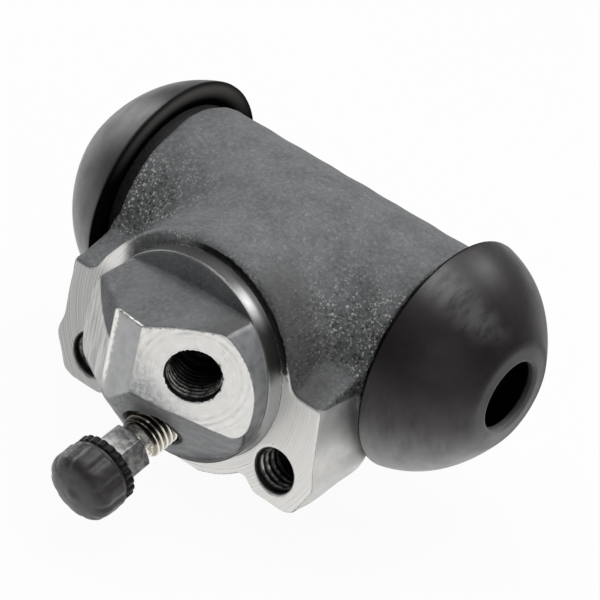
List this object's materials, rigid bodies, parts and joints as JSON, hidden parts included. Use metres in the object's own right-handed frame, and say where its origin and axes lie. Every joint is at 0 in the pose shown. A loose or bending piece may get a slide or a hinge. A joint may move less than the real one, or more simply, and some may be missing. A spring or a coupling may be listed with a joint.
{
  "type": "wheel cylinder",
  "caption": "Cast drum brake wheel cylinder with a turned pilot and bolting face, opposed pistons inside a honed barrel, domed rubber boots, tapped inlet and bleeder screw with a rubber cap.",
  "frame": {"origin": "where the pilot axis meets the bolting face", "axes": "+X along the bore, -Y out of the bolting face along the pilot, +Z away from the bolt holes"},
  "size_m": [0.087, 0.0754, 0.0485],
  "materials": {
    "cast_body": "as cast, with bright machined faces",
    "piston": "turned",
    "cup_rubber": "moulded",
    "sheet_steel": "pressed",
    "spring_steel": "drawn wire",
    "boot_rubber": "moulded, satin",
    "plated_steel": "zinc plated",
    "cap_rubber": "moulded, matt"
  },
  "bodies": {
    "cylinder": {"cylinder_body": "cast_body", "boot_left": "boot_rubber", "boot_right": "boot_rubber", "return_spring": "spring_steel"},
    "left_piston": {"piston_left": "piston", "cup_left": "cup_rubber", "expander_left": "sheet_steel"},
    "right_piston": {"piston_right": "piston", "cup_right": "cup_rubber", "expander_right": "sheet_steel"},
    "bleeder": {"bleeder_screw": "plated_steel"},
    "cap": {"bleeder_cap": "cap_rubber"}
  },
  "joints": [
    {"name": "right_piston_slide", "type": "slide", "parent": "cylinder", "child": "right_piston", "axis": [1, 0, 0], "range_m": [-0.004, 0.008], "deforming": ["return_spring"]},
    {"name": "left_piston_slide", "type": "slide", "parent": "cylinder", "child": "left_piston", "axis": [-1, 0, 0], "range_m": [-0.004, 0.008], "deforming": ["return_spring"]},
    {"name": "bleeder_turn", "type": "hinge", "parent": "cylinder", "child": "bleeder", "pos_m": [0.0013, -0.0089, -0.0108], "axis": [0, -0.9511, -0.309], "range_deg": [0, 270]},
    {"name": "cap_pull", "type": "slide", "parent": "bleeder", "child": "cap", "axis": [0, -0.9511, -0.309], "range_m": [0, 0.012]}
  ]
}
